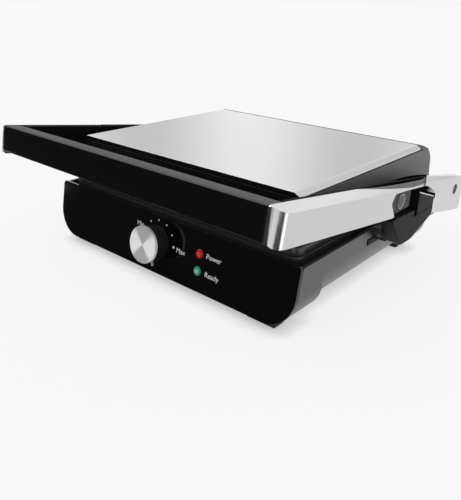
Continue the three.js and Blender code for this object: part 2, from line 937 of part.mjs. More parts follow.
const lampPlaces = [
  ['power_lamp_lens', powerLampDown, redLens],
  ['ready_lamp_lens', readyLampDown, greenLens],
];
for (const [name, down, finish] of lampPlaces) {
  const lens = addPiece(panel, name, makeLens(), finish);
  lens.position.set(lampX, -down, 0);
}
const holder = addPiece(
  panel,
  'lamp_holder',
  box(
    -lampHolderWidth / 2,
    lampHolderWidth / 2,
    -readyLampDown - lampHolderMargin,
    -powerLampDown + lampHolderMargin,
    -lampDepth - fitGap - lampHolderDepth,
    -lampDepth - fitGap,
  ),
  moulded,
);
holder.position.set(lampX, 0, 0);

// Side brackets on the base, with a plate behind each cover and the latch lever on the right
function bracketOutline(rim) {
  const round = bracketRimWidth;
  return corneredOutline([
    [bracketHeel, bracketHeelZ - rim, round],
    [bracketToe + rim / 2, bracketToeZ - rim, round * 2],
    [bracketRear + rim, bracketRearLowZ - rim / 2, round],
    [bracketRear + rim, bracketRearTopZ + rim / 2, round],
    [bracketHeadFront, bracketHeadTopZ, round / 2],
    [bracketHeadFront, bracketSaddleZ - bracketRimWidth, round / 2],
    [bracketSaddle, bracketSaddleZ, round / 2],
    [bracketFront, bracketFrontTopZ, round / 2],
  ]);
}

function makeBracket() {
  const outline = corneredOutline([
    [bracketTab, bracketTabLowZ, bracketRimWidth],
    [bracketTab + bracketTabHeel, bracketHeelZ, bracketRimWidth],
    [bracketToe, bracketToeZ, bracketRimWidth],
    [bracketRear, bracketRearLowZ - bracketRimWidth, bracketRimWidth],
    [bracketRear, bracketInnerTopZ, 0],
    [bracketHeadFront, bracketInnerTopZ + bracketRimWidth, 0],
    [bracketHeel, bracketInnerTopZ + bracketRimWidth, bracketRimWidth],
    [bracketTab, bracketTabTopZ, bracketRimWidth / 2],
  ]);
  const body = alongX(outline, halfBase + fitGap, bracketPlateX - bracketGap);
  const fingerRoom = buttonOutline(lowerButtonY, lowerButtonZ, buttonTabDepth);
  return cut(body, alongX(fingerRoom, halfBase, armInnerX + overrun));
}

// A thin strip that runs round the lower and rear edges of the cover, outside the arm.
function makeTrim() {
  const rear = bracketRear + trimRearReach;
  const outline = corneredOutline([
    [bracketHeel, bracketHeelZ - trimRim, trimRim],
    [bracketToe + trimRim, bracketToeZ - trimRim, bracketRimWidth * 2],
    [rear, bracketRearLowZ + trimRearLean, bracketRimWidth],
    [rear - trimRearLean, bracketRearTopZ - trimRim, bracketRimWidth],
    [bracketRear - trimRim, bracketRearTopZ - trimRim * 2, 0],
    [bracketHeel, bracketHeelZ + trimRim, 0],
  ]);
  const strip = alongX(outline, armOuterX + bracketGap, bracketOuterX - trimSetback);
  return cut(strip, alongX(bracketOutline(bracketGap), armOuterX, bracketOuterX));
}

// The room that the lever fills, and with a travel the room that it needs to slide forward.
function leverSpace(gap, travel) {
  const front = bracketHeadFront - gap - travel;
  const rear = bracketRear + bracketRimWidth * 2;
  const top = bracketHeadTopZ + bracketRimWidth * 2;
  return corneredOutline([
    [front, leverBottomZ - gap],
    [rear, leverBottomZ - gap],
    [rear, top],
    [front, top],
  ]);
}

function makeCover() {
  const body = alongX(bracketOutline(0), bracketPlateX, bracketOuterX);
  const room = leverSpace(bracketGap, leverTravel + bracketGap);
  return cut(body, alongX(room, bracketPlateX - overrun, bracketOuterX + overrun));
}

function makeLever() {
  const body = alongX(bracketOutline(0), bracketPlateX, bracketOuterX);
  return common(body, alongX(leverSpace(0, 0), bracketPlateX, bracketOuterX));
}

addPair(base, 'side_bracket', makeBracket(), moulded);
addPair(base, 'side_trim', makeTrim(), castSilver);
addPiece(base, 'side_cover_right', makeCover(), satinBlack);
const leftCover = mirrored(alongX(bracketOutline(0), bracketPlateX, bracketOuterX));
addPiece(base, 'side_cover_left', leftCover, satinBlack);
addPiece(base, 'latch_lever', makeLever(), satinBlack);

// Hinge lugs on the base walls and the pins through the tails of the arms
function makeLug() {
  const outline = new THREE.Shape();
  outline.moveTo(lugFront, lugBottom);
  outline.lineTo(hingeY - lugRadius, lugBottom);
  outline.lineTo(hingeY + lugRadius, hingeZ);
  outline.absarc(hingeY, hingeZ, lugRadius, 0, Math.PI / 2);
  outline.lineTo(lugFront + lugRadius, hingeZ);
  outline.lineTo(lugFront, baseSideHeight - lugRadius);
  outline.closePath();
  const body = alongX(outline, halfBase + fitGap, armInnerX - 2 * fitGap);
  return cut(body, rodX(hingePinRadius + hingeBoreGap, halfBase, armInnerX, hingeY, hingeZ));
}

const pinHeadX = armOuterX - hingePinHeadInset;

function makeHingePin() {
  return turnedX([
    [0, halfBase + 2 * fitGap],
    [hingePinRadius, halfBase + 2 * fitGap],
    [hingePinRadius, pinHeadX - hingePinHeadThickness],
    [hingePinHeadRadius, pinHeadX - hingePinHeadThickness],
    [hingePinHeadRadius, pinHeadX],
    [0, pinHeadX],
  ], hingeY, hingeZ);
}

addPair(base, 'hinge_lug', makeLug(), moulded);
addPair(base, 'hinge_pin', makeHingePin(), sheetSteel);

// Handle bar and side arms
const barForward = Math.sin(barLean);
const barUpward = Math.cos(barLean);
const barBottomFront = barFront - barHeight * barForward;
const barBottom = barTop - barHeight * barUpward;

function barPoint(back, down) {
  return [
    barFront + back * barUpward - down * barForward,
    barTop - back * barForward - down * barUpward,
  ];
}

const barMiddle = barPoint(barDepth / 2, barHeight / 2);
const handlePinEnd = armInnerX + handlePinBite;

function makeBar() {
  const outline = corneredOutline([
    [...barPoint(0, barHeight), barEdgeRadius],
    [...barPoint(barDepth, barHeight), barEdgeRadius],
    [...barPoint(barDepth, 0), barEdgeRadius],
    [...barPoint(0, 0), barEdgeRadius],
  ]);
  const bore = rodX(handlePinRadius + fitGap, 0, handlePinLength + overrun, ...barMiddle, pinSteps);
  const right = bore.clone().translate(barHalfLength - handlePinLength, 0, 0);
  return cut(alongX(outline, -barHalfLength, barHalfLength), right, mirrored(right));
}

function armTopAt(y) {
  return barTop - armFallShare * (y - barFront);
}

function armBottomAt(y) {
  return armBottomFront - armBottomFallShare * (y - barBottomFront);
}

function armOutline(topDrop, bottomRise) {
  const tailTop = armTopAt(tailStart + tailRampLength) + tailStepHeight;
  return corneredOutline([
    [barBottomFront, armBottomAt(barBottomFront) + bottomRise, tailRoundRadius],
    [notchRear + fitGap, armBottomAt(notchRear) + bottomRise, 0],
    [tailDeep, tailDeepZ, tailRoundRadius / 2],
    [tailEnd, tailEndBottomZ, tailRoundRadius],
    [tailEnd, tailEndTopZ - topDrop, tailRoundRadius],
    [tailStart + tailRampLength, tailTop - topDrop, tailRoundRadius / 2],
    [tailStart, armTopAt(tailStart) - topDrop, tailRoundRadius / 2],
    [barFront, armTopAt(barFront) - topDrop, barEdgeRadius],
  ]);
}

function notchOutline() {
  return corneredOutline([
    [notchOpenFront, armBottomAt(notchOpenFront) - overrun],
    [notchRear, armBottomAt(notchRear) - overrun],
    [notchRear, notchRearZ, tailRoundRadius],
    [notchRearTop, notchRearTopZ, tailRoundRadius],
    [notchTop, notchTopZ, tailRoundRadius / 2],
    [notchShoulder, notchShoulderZ, tailRoundRadius / 2],
    [notchFront, notchFrontZ, tailRoundRadius / 2],
  ]);
}

// The bevel leaves the inner top edge high and drops the outer face by its own height.
function bevelCutter() {
  const rise = armWidth * 2;
  const front = barBottomFront - overrun;
  const rear = tailEnd + overrun;
  const outline = new THREE.Shape();
  outline.moveTo(armInnerX, 0);
  outline.lineTo(armOuterX + overrun, -armBevelDrop * (1 + overrun / armWidth));
  outline.lineTo(armOuterX + overrun, rise);
  outline.lineTo(armInnerX, rise);
  outline.closePath();
  const cutter = alongY(outline, front, rear);
  const position = cutter.attributes.position;
  for (let index = 0; index < position.count; index += 1) {
    const y = position.getY(index);
    position.setZ(index, position.getZ(index) + armTopAt(y));
  }
  return cutter;
}

function tailBevelCutter() {
  const cutter = bevelCutter();
  cutter.translate(0, 0, tailStepHeight);
  return cutter;
}

// The step up to the tail runs back at a slant, from the outer face to the inner one.
function tailSlantCutter(start) {
  const inside = armInnerX - overrun;
  const outside = armOuterX + overrun;
  const plan = corneredOutline([
    [inside, start - overrun],
    [outside, start - overrun],
    [outside, start],
    [inside, start + tailSlant],
  ]);
  return common(bevelCutter(), slab(plan, 0, barTop * 2));
}

function makeArm() {
  const side = alongX(armOutline(0, 0), armInnerX, armOuterX);
  const front = barBottomFront;
  const cornerX = armOuterX - armCornerRadius;
  const outside = armOuterX + overrun;
  const above = barTop * 2;
  const cornerBox = box(cornerX, outside, front - overrun, front + armCornerRadius, 0, above);
  const cornerRound = rod(armCornerRadius, 0, above, roundSteps * 2);
  cornerRound.translate(cornerX, front + armCornerRadius, 0);
  const cornerTool = cut(cornerBox, cornerRound);
  const position = cornerTool.attributes.position;
  for (let index = 0; index < position.count; index += 1) {
    const z = position.getZ(index);
    const shift = (z - barBottom) * Math.tan(barLean);
    position.setY(index, position.getY(index) + shift);
  }
  const inside = armInnerX - overrun;
  const stepY = tailStart + tailRampLength / 2;
  const stepBox = box(inside, outside, -baseRear, stepY, 0, above);
  const frontPart = cut(common(side, stepBox), bevelCutter(), cornerTool);
  const rearBox = box(inside, outside, stepY, baseRear * 2, 0, barTop);
  const rearPart = cut(common(side, rearBox), tailBevelCutter(), tailSlantCutter(stepY));
  const whole = join(frontPart, rearPart);
  return cut(
    whole,
    alongX(notchOutline(), inside, outside),
    rodX(hingePinRadius + hingeBoreGap, inside, armOuterX, hingeY, hingeZ),
    rodX(hingeHoleRadius, pinHeadX - hingePinHeadThickness - fitGap, outside, hingeY, hingeZ),
    rodX(handlePinRadius + fitGap, inside, handlePinEnd + fitGap, ...barMiddle, pinSteps),
  );
}

function makeLiner() {
  const start = barFront + barDepth + fitGap * 2;
  const outline = corneredOutline([
    [start, armBottomAt(start) + linerRise],
    [linerRear, armBottomAt(notchRear) + linerRise, linerRise],
    [linerRear, armTopAt(linerRear) - linerDrop, linerRise],
    [start, armTopAt(start) - linerDrop],
  ]);
  const strip = alongX(outline, linerInnerX, linerOuterX);
  const gap = fitGap * 2;
  const insert = alongX(corneredOutline([
    [notchOpenFront + gap, insertBottomZ, linerRise],
    [insertRear, insertBottomZ, linerRise],
    [insertRear, notchTopZ - gap * 4, 0],
    [notchTop, notchTopZ - gap, linerRise],
    [notchShoulder + gap, notchShoulderZ - gap * 2, linerRise],
    [notchFront + gap * 2, notchFrontZ, linerRise],
  ]), linerInnerX, insertOuterX);
  const studEnd = linerOuterX + linerWidth / 2;
  const studBore = rodX(studRadius + fitGap, linerInnerX - overrun, studEnd, pivotY, pivotZ);
  const capBore = rodX(
    pivotCapRadius + fitGap,
    insertOuterX - pivotCapThickness,
    insertOuterX + overrun,
    pivotY,
    pivotZ,
  );
  return cut(join(strip, insert), studBore, capBore);
}

function makePivotCap() {
  const back = insertOuterX - pivotCapThickness + fitGap;
  const front = insertOuterX + pivotCapDish;
  const inner = pivotCapRadius - pivotCapRingWidth;
  return turnedX([
    [0, back],
    [pivotCapRadius, back],
    [pivotCapRadius, front],
    [inner, front],
    [inner, front - pivotCapDish],
    [0, front - pivotCapDish],
  ], pivotY, pivotZ);
}

function makeHandlePin() {
  return turnedX([
    [0, barHalfLength - handlePinLength + fitGap],
    [handlePinRadius, barHalfLength - handlePinLength + fitGap],
    [handlePinRadius, handlePinEnd],
    [0, handlePinEnd],
  ], ...barMiddle, pinSteps);
}

const arms = new THREE.Group();
addPiece(arms, 'handle_bar', makeBar(), glossBlack);
addPair(arms, 'arm', makeArm(), castSilver);
addPair(arms, 'arm_liner', makeLiner(), satinBlack);
addPair(arms, 'pivot_cap', makePivotCap(), sheetSteel);
addPair(arms, 'handle_pin', makeHandlePin(), sheetSteel);

// Lid that floats on two studs at the middle of the arms
const lidSlopeShare = (lidFrontHeight - lidRearHeight) / (lidRear - lidFront);

// Draws the sides in towards the top and lets the top fall to the rear.
function shapeLid(geometry, bottom, top, widthFrom, widthTo) {
  const position = geometry.attributes.position;
  for (let index = 0; index < position.count; index += 1) {
    const share = (position.getZ(index) - bottom) / (top - bottom);
    const scale = 1 + share * (widthTo / widthFrom - 1);
    const fall = share * lidSlopeShare * (position.getY(index) - lidFront);
    position.setX(index, position.getX(index) * scale);
    position.setZ(index, position.getZ(index) - fall);
  }
  return geometry;
}

const lidHousingTop = lidFrontHeight - lidPanelThickness - fitGap;

function lidTopAt(y) {
  return lidFrontHeight - lidSlopeShare * (y - lidFront);
}

function lidBlock(inset, bottom) {
  const half = lidBottomWidth / 2 - inset;
  const outline = roundedOutline(
    -half,
    half,
    lidFront + inset,
    lidRear - inset,
    lidCornerRadius - inset,
    lidRearCornerRadius - inset,
  );
  const top = lidFrontHeight - inset;
  return shapeLid(slab(outline, bottom, top), bottom, top, lidBottomWidth, lidTopWidth);
}

// The lid's side view, with the wide round from its top to its rear wall.
function lidSideView(inset, bottom) {
  const radius = lidRearRadius - inset;
  const fall = lidRearFall - inset;
  const front = lidFront - overrun;
  const top = lidTopAt(lidPanelRear) - inset;
  const shape = new THREE.Shape();
  shape.moveTo(front, bottom);
  shape.lineTo(lidRear - inset, bottom);
  shape.absellipse(lidPanelRear, top - fall, radius, fall, 0, Math.PI / 2);
  shape.lineTo(front, lidFrontHeight + overrun);
  shape.closePath();
  return shape;
}

// The seat of the steel panel, open to the front and the sides.
function lidSeat(drop, end) {
  const front = lidFront - overrun;
  const shape = new THREE.Shape();
  shape.moveTo(front, lidTopAt(front) - drop);
  shape.lineTo(end, lidTopAt(end) - drop);
  shape.lineTo(end, lidFrontHeight + 2 * overrun);
  shape.lineTo(front, lidFrontHeight + 2 * overrun);
  shape.closePath();
  return alongX(shape, -baseWidth, baseWidth);
}

// The set-back lower part of each side, which follows the draft of the wall.
function lidStep() {
  const front = pivotY - lidStepReach;
  const rear = lidRear + overrun;
  const bottom = lidBottom - overrun;
  const outline = corneredOutline([
    [front, bottom],
    [rear, bottom],
    [rear, plateTop + lidStepRearRise],
    [front, plateTop + lidStepFrontRise],
  ]);
  const half = lidBottomWidth / 2;
  const cutter = alongX(outline, half - lidStepDepth, half + overrun);
  const position = cutter.attributes.position;
  const draft = lidSideDraft / (lidFrontHeight - lidBottom);
  for (let index = 0; index < position.count; index += 1) {
    position.setX(index, position.getX(index) - draft * (position.getZ(index) - lidBottom));
  }
  return cutter;
}

// The lid's front view, bevelled along both sides and let down to the rear.
function lidBevelled(inset, outside, bottom, front, rear) {
  const edge = lidTopWidth / 2 - lidPanelInset - lidPanelBevelWidth - inset;
  const top = lidFrontHeight - inset;
  const drop = lidPanelBevelDrop * (outside - edge) / lidPanelBevelWidth;
  const profile = corneredOutline([
    [-outside, bottom],
    [outside, bottom],
    [outside, top - drop],
    [edge, top],
    [-edge, top],
    [-outside, top - drop],
  ]);
  const solid = alongY(profile, front, rear);
  const position = solid.attributes.position;
  for (let index = 0; index < position.count; index += 1) {
    const fall = lidSlopeShare * (position.getY(index) - lidFront);
    position.setZ(index, position.getZ(index) - fall);
  }
  return solid;
}

function lidCore(inset, bottom) {
  const below = bottom - overrun;
  return common(
    lidBlock(inset, bottom),
    alongX(lidSideView(inset, below), -baseWidth, baseWidth),
    lidBevelled(inset, lidBottomWidth / 2 + overrun, below - overrun, lidFront - overrun, lidRear + overrun),
  );
}

function makeLidHousing() {
  const seatDrop = lidPanelThickness + fitGap;
  const shell = cut(lidCore(0, lidBottom), lidSeat(seatDrop, lidPanelRear));
  const below = lidBottom - overrun;
  const floor = box(-baseWidth, baseWidth, baseRear, lidRear, below - overrun, lidBottom + lidWall);
  const inner = cut(lidCore(lidWall, below), lidSeat(seatDrop + lidWall, lidPanelRear + lidWall), floor);
  const studHole = rodX(studRadius + fitGap, -lidBottomWidth, lidBottomWidth, pivotY, pivotZ);
  const buttonHole = alongX(buttonOutline(upperButtonY, upperButtonZ, fitGap), -lidBottomWidth, 0);
  return cut(shell, inner, lidStep(), mirrored(lidStep()), studHole, buttonHole);
}

// A steel panel with its long sides bent down.
function makeLidPanel() {
  const half = lidTopWidth / 2 - lidPanelInset;
  const front = lidFront + lidPanelInset;
  const rear = lidPanelRear - fitGap;
  const plan = roundedOutline(-half, half, front, rear, lidPanelCornerRadius);
  const bottom = lidHousingTop + fitGap;
  return common(lidBevelled(0, half, bottom, front - overrun, rear + overrun), slab(plan, 0, barTop));
}

function lidSideAt(z) {
  const share = (z - lidBottom) / (lidFrontHeight - lidBottom);
  return (lidBottomWidth + share * (lidTopWidth - lidBottomWidth)) / 2;
}

function makeStud() {
  const wallInside = lidSideAt(pivotZ + studFlangeRadius) - lidWall - fitGap;
  return turnedX([
    [0, wallInside - studFlangeThickness],
    [studFlangeRadius, wallInside - studFlangeThickness],
    [studFlangeRadius, wallInside],
    [studRadius, wallInside],
    [studRadius, linerOuterX + linerWidth / 2 - fitGap],
    [0, linerOuterX + linerWidth / 2 - fitGap],
  ], pivotY, pivotZ);
}

function makeUpperButton() {
  const outside = -lidSideAt(upperButtonZ);
  const outline = buttonOutline(upperButtonY, upperButtonZ, 0);
  const face = alongX(outline, outside - buttonProud, outside + buttonDepth);
  const tab = alongX(
    buttonOutline(upperButtonY, upperButtonZ, buttonTabDepth),
    outside + lidWall + fitGap * 2,
    outside + buttonDepth,
  );
  return join(face, tab);
}

const lid = new THREE.Group();
addPiece(lid, 'lid_housing', makeLidHousing(), housingBlack);
addPiece(lid, 'lid_top_panel', makeLidPanel(), brushedSteel);
addPair(lid, 'lid_pivot_stud', makeStud(), sheetSteel);
addPiece(lid, 'upper_plate_button', makeUpperButton(), satinBlack);
const upperPlate = addPiece(lid, 'upper_grill_plate', makePlate(false), coatedPlate);
upperPlate.position.set(0, plateFront + plateRear, upperPlateTop);
upperPlate.rotation.x = Math.PI;
addPiece(lid, 'upper_heating_element', makeHeater(upperPlateTop + heaterGap + heaterRadius), heaterSteel);
const upperShield = addPiece(lid, 'upper_heat_shield', makeShield(), sheetSteel);
upperShield.position.set(0, lidFront + baseRear, upperPlateTop + fitGap);
upperShield.rotation.x = Math.PI;

// The whole grill stands centred over its own bounding box.
const grill = new THREE.Group();
grill.add(base, arms, lid);
grill.updateMatrixWorld(true);
const bounds = new THREE.Box3().setFromObject(grill, true);
grill.position.set(0, -(bounds.min.y + bounds.max.y) / 2, 0);

export default grill;
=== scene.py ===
import json
import math

import bmesh
import bpy
from mathutils import Matrix, Vector


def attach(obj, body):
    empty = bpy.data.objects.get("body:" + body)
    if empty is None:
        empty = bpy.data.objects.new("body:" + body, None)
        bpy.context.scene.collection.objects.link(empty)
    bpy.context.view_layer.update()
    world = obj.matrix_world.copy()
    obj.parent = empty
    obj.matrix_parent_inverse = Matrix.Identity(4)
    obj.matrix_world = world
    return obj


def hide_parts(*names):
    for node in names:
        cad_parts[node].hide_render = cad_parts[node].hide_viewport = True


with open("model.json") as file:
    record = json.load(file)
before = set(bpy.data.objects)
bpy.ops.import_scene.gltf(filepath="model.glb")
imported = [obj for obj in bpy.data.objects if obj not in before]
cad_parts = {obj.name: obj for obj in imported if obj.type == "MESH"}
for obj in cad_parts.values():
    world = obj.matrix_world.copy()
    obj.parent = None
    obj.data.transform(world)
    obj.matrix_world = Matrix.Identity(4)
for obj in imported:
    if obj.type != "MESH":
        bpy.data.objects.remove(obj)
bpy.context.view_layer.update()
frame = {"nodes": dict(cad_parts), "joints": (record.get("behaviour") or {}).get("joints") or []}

# Table top. A pale painted board carries the grill. Black papers and two white cards are
# set out in front and show only in its gloss: the papers keep the fascia dark, and the
# cards draw the bright lines on the arm.
board_half = 9.0
board_tone, board_white, board_lift = 0.86, 0.97, 0.85
contact_reach, contact_floor, contact_samples = 0.016, 0.5, 8
paper_tone, paper_lift = 0.05, 0.0004
card_tone, card_glow, card_lift = 0.9, 0.9, 0.0008
scene = bpy.context.scene
scene.view_settings.view_transform = "Standard"


def mesh_object(name, bm):
    mesh = bpy.data.meshes.new(name)
    bm.to_mesh(mesh)
    bm.free()
    thing = bpy.data.objects.new(name, mesh)
    scene.collection.objects.link(thing)
    return thing


def new_material(name, colour, roughness, metallic=0.0, specular=0.5):
    material = bpy.data.materials.new(name)
    material.use_nodes = True
    shader = material.node_tree.nodes["Principled BSDF"]
    shader.inputs["Base Color"].default_value = (*colour, 1)
    shader.inputs["Roughness"].default_value = roughness
    shader.inputs["Metallic"].default_value = metallic
    shader.inputs["Specular IOR Level"].default_value = specular
    return material, shader


def math_step(tree, operation, *terms):
    """One step of a sum, whose terms are numbers or the outputs of other nodes."""
    step = tree.nodes.new("ShaderNodeMath")
    step.operation = operation
    for place, term in zip(step.inputs, terms):
        if isinstance(term, bpy.types.NodeSocket):
            tree.links.new(term, place)
        else:
            place.default_value = term
    return step.outputs["Value"]


def shared_out(tree, share, first, second, output):
    """Sends the first shader to the output, and the second in its place by a share."""
    mix = tree.nodes.new("ShaderNodeMixShader")
    for source, place in zip((share, first, second), mix.inputs):
        tree.links.new(source, place)
    tree.links.new(mix.outputs["Shader"], tree.nodes[output].inputs["Surface"])


bm = bmesh.new()
bmesh.ops.create_grid(bm, x_segments=1, y_segments=1, size=board_half)
board = mesh_object("board", bm)
board_paint, board_shader = new_material(
    "board_paint", (board_tone, board_tone, board_tone), roughness=0.9, specular=0.0
)
board_tree = board_paint.node_tree
# The occlusion node darkens the board's glow close to the grill: a contact shadow painted into the glow.
board_near = board_tree.nodes.new("ShaderNodeAmbientOcclusion")
board_near.samples = contact_samples
board_near.inputs["Distance"].default_value = contact_reach
board_contact_shadow = math_step(
    board_tree, "MULTIPLY_ADD", board_near.outputs["AO"], 1 - contact_floor, contact_floor
)
board_glow = board_tree.nodes.new("ShaderNodeEmission")
board_glow.inputs["Color"].default_value = (board_white, board_white, board_white, 1)
board_tree.links.new(board_contact_shadow, board_glow.inputs["Strength"])
board_path = board_tree.nodes.new("ShaderNodeLightPath")
board_seen = math_step(
    board_tree, "MAXIMUM", board_path.outputs["Is Camera Ray"], board_path.outputs["Is Glossy Ray"]
)
board_share = math_step(board_tree, "MULTIPLY", board_seen, board_lift)
board_painted, board_lit = board_shader.outputs["BSDF"], board_glow.outputs["Emission"]
shared_out(board_tree, board_share, board_painted, board_lit, "Material Output")
board.data.materials.append(board_paint)

paper_dark, _ = new_material(
    "paper_dark", (paper_tone, paper_tone, paper_tone), roughness=1.0, specular=0.0
)
card_light, card_shader = new_material(
    "card_light", (card_tone, card_tone, card_tone), roughness=1.0, specular=0.0
)
card_shader.inputs["Emission Color"].default_value = (1, 1, 1, 1)
card_shader.inputs["Emission Strength"].default_value = card_glow
for name, corners in (
    ("card_front", ((0.194, -0.309, 0), (0.267, -1.15, 0), (0.71, -1.0, 0), (0.265, -0.286, 0))),
    ("card_side", ((0.33, -0.17, 0), (0.97, -0.26, 0), (0.97, 0.02, 0), (0.33, -0.118, 0))),
    ("paper_front", ((-8.0, -3.2, 0), (0.42, -3.2, 0), (0.42, -0.5, 0), (-8.0, -0.5, 0))),
    ("paper_near", ((-0.7, -0.5, 0), (0.42, -0.5, 0), (0.42, -0.12, 0), (-0.26, -0.12, 0))),
    ("paper_wall", ((-8.0, -3.2, 0), (0.42, -3.2, 0), (0.42, -3.2, 4.0), (-8.0, -3.2, 4.0))),
    ("paper_corner", ((0.32, -0.3, 0), (2.2, -2.25, 0), (3.0, -0.9, 0), (0.48, -0.09, 0))),
):
    is_card = name.startswith("card")
    lift = card_lift if is_card else paper_lift
    bm = bmesh.new()
    bm.faces.new([bm.verts.new((x, y, z + lift)) for x, y, z in corners])
    paper = mesh_object(name, bm)
    paper.data.materials.append(card_light if is_card else paper_dark)
    paper.visible_camera = False
    paper.visible_diffuse = False
    paper.visible_shadow = False
    paper.visible_transmission = False

# Studio air. White light comes evenly from all round. The roof lights hang in soft rows,
# which the brushed lid shows as broad bands, and one wide lamp overhead gives the shadow.
azimuth = math.radians(41.7)
ambient, air_white = 0.72, 0.93
row_width, row_offset, row_swing, row_drop = 0.36, 0.045, 0.3, 0.05
roof_strength, roof_spread, roof_tilt = 0.9, math.radians(55), (math.radians(28), math.radians(-30), 0)

world = bpy.data.worlds.new("studio_air")
scene.world = world
world.use_nodes = True
air = world.node_tree
air_light = air.nodes["Background"]
air_light.inputs["Color"].default_value = (1, 1, 1, 1)
air_light.inputs["Strength"].default_value = ambient
air_path = air.nodes.new("ShaderNodeLightPath")
rows_place = air.nodes.new("ShaderNodeTexCoord")
rows_across = air.nodes.new("ShaderNodeVectorMath")
rows_across.operation = "DOT_PRODUCT"
rows_across.inputs[1].default_value = (math.cos(azimuth), math.sin(azimuth), 0)
air.links.new(rows_place.outputs["Generated"], rows_across.inputs[0])
rows_rate = 2 * math.pi / row_width
rows_phase = math_step(air, "MULTIPLY_ADD", rows_across.outputs["Value"], rows_rate, -rows_rate * row_offset)
rows_wave = math_step(air, "COSINE", rows_phase)
rows_change = math_step(air, "MULTIPLY_ADD", rows_wave, row_swing, -row_drop)
rows_strength = math_step(air, "MULTIPLY_ADD", air_path.outputs["Is Glossy Ray"], rows_change, 1)
air_view = air.nodes.new("ShaderNodeBackground")
air_view.inputs["Color"].default_value = (air_white, air_white, air_white, 1)
air.links.new(rows_strength, air_view.inputs["Strength"])
air_seen = math_step(air, "MAXIMUM", air_path.outputs["Is Camera Ray"], air_path.outputs["Is Glossy Ray"])
air_share = math_step(air, "MAXIMUM", air_seen, air_path.outputs["Is Transmission Ray"])
air_plain, air_rowed = air_light.outputs["Background"], air_view.outputs["Background"]
shared_out(air, air_share, air_plain, air_rowed, "World Output")

roof_light = bpy.data.lights.new("roof_light", "SUN")
roof_light.energy = roof_strength
roof_light.angle = roof_spread
roof_lamp = bpy.data.objects.new("roof_light", roof_light)
roof_lamp.rotation_euler = roof_tilt
scene.collection.objects.link(roof_lamp)

# Camera. It stands where the photograph was taken from, with the same focal length, the
# same slight roll and the small offset of its picture.
elevation, roll = math.radians(24.7), math.radians(0.4)
focal_pixels, long_side, sensor = 563.6, 500, 36.0
camera_place, camera_shift, camera_range = (0.3856, -0.4466, 0.2677), (0.010, -0.008), (0.01, 100)
look = Vector(
    (-math.sin(azimuth) * math.cos(elevation), math.cos(azimuth) * math.cos(elevation), -math.sin(elevation))
)
eye_level = Vector((math.cos(azimuth), math.sin(azimuth), 0))
eye_down = look.cross(eye_level)
picture_right = math.cos(roll) * eye_level - math.sin(roll) * eye_down
picture_down = math.sin(roll) * eye_level + math.cos(roll) * eye_down
lens = bpy.data.cameras.new("camera")
lens.sensor_width = sensor
lens.lens = focal_pixels * sensor / long_side
lens.shift_x, lens.shift_y = camera_shift
lens.clip_start, lens.clip_end = camera_range
camera = bpy.data.objects.new("camera", lens)
turn = Matrix((picture_right, -picture_down, -look)).transposed().to_4x4()
camera.matrix_world = Matrix.Translation(camera_place) @ turn
scene.collection.objects.link(camera)
scene.camera = camera

# Base tub. An open tub moulded in black ABS with a satin face, its lower side edges
# turned to a wide round. It carries the plates and stands on four screwed-on feet.
tub_black, tub_edge = (0.012, 0.012, 0.0125), 0.0006
grain_detail, grain_span = 4, (0.3, 0.7)
weld_gap, flat_angle, sharp_angle = 0.000002, math.radians(0.4), math.radians(30)


def spread_over(tree, source, span, result=(0, 1)):
    """Carries a span of one value over to a span of another, and holds it at both ends."""
    spread = tree.nodes.new("ShaderNodeMapRange")
    for label, number in zip(("From Min", "From Max", "To Min", "To Max"), (*span, *result)):
        spread.inputs[label].default_value = number
    tree.links.new(source, spread.inputs["Value"])
    return spread


def tinted(tree, share, first, second):
    """Colours a finish between two tones."""
    tint = tree.nodes.new("ShaderNodeMix")
    tint.data_type = "RGBA"
    tint.inputs["A"].default_value = (*first, 1)
    tint.inputs["B"].default_value = (*second, 1)
    tree.links.new(share, tint.inputs["Factor"])
    tree.links.new(tint.outputs["Result"], tree.nodes["Principled BSDF"].inputs["Base Color"])


def grained(
    name,
    colour,
    rough,
    scale,
    bump,
    pale=None,
    metallic=0.0,
    index=1.5,
    specular=0.5,
    stretch=(1, 1, 1),
    depth=0.0001,
):
    """A finish with a fine grain in its gloss and relief, and up to a pale tone in its colour."""
    material, shader = new_material(name, colour, sum(rough) / 2, metallic, specular)
    shader.inputs["IOR"].default_value = index
    tree = material.node_tree
    place = tree.nodes.new("ShaderNodeTexCoord")
    mapping = tree.nodes.new("ShaderNodeMapping")
    mapping.inputs["Scale"].default_value = stretch
    tree.links.new(place.outputs["Object"], mapping.inputs["Vector"])
    grain = tree.nodes.new("ShaderNodeTexNoise")
    grain.inputs["Scale"].default_value = scale
    grain.inputs["Detail"].default_value = grain_detail
    tree.links.new(mapping.outputs["Vector"], grain.inputs["Vector"])
    spread = spread_over(tree, grain.outputs["Fac"], grain_span, rough)
    tree.links.new(spread.outputs["Result"], shader.inputs["Roughness"])
    relief = tree.nodes.new("ShaderNodeBump")
    relief.inputs["Strength"].default_value = bump
    relief.inputs["Distance"].default_value = depth
    tree.links.new(grain.outputs["Fac"], relief.inputs["Height"])
    tree.links.new(relief.outputs["Normal"], shader.inputs["Normal"])
    if pale:
        tinted(tree, grain.outputs["Fac"], colour, pale)
    return material


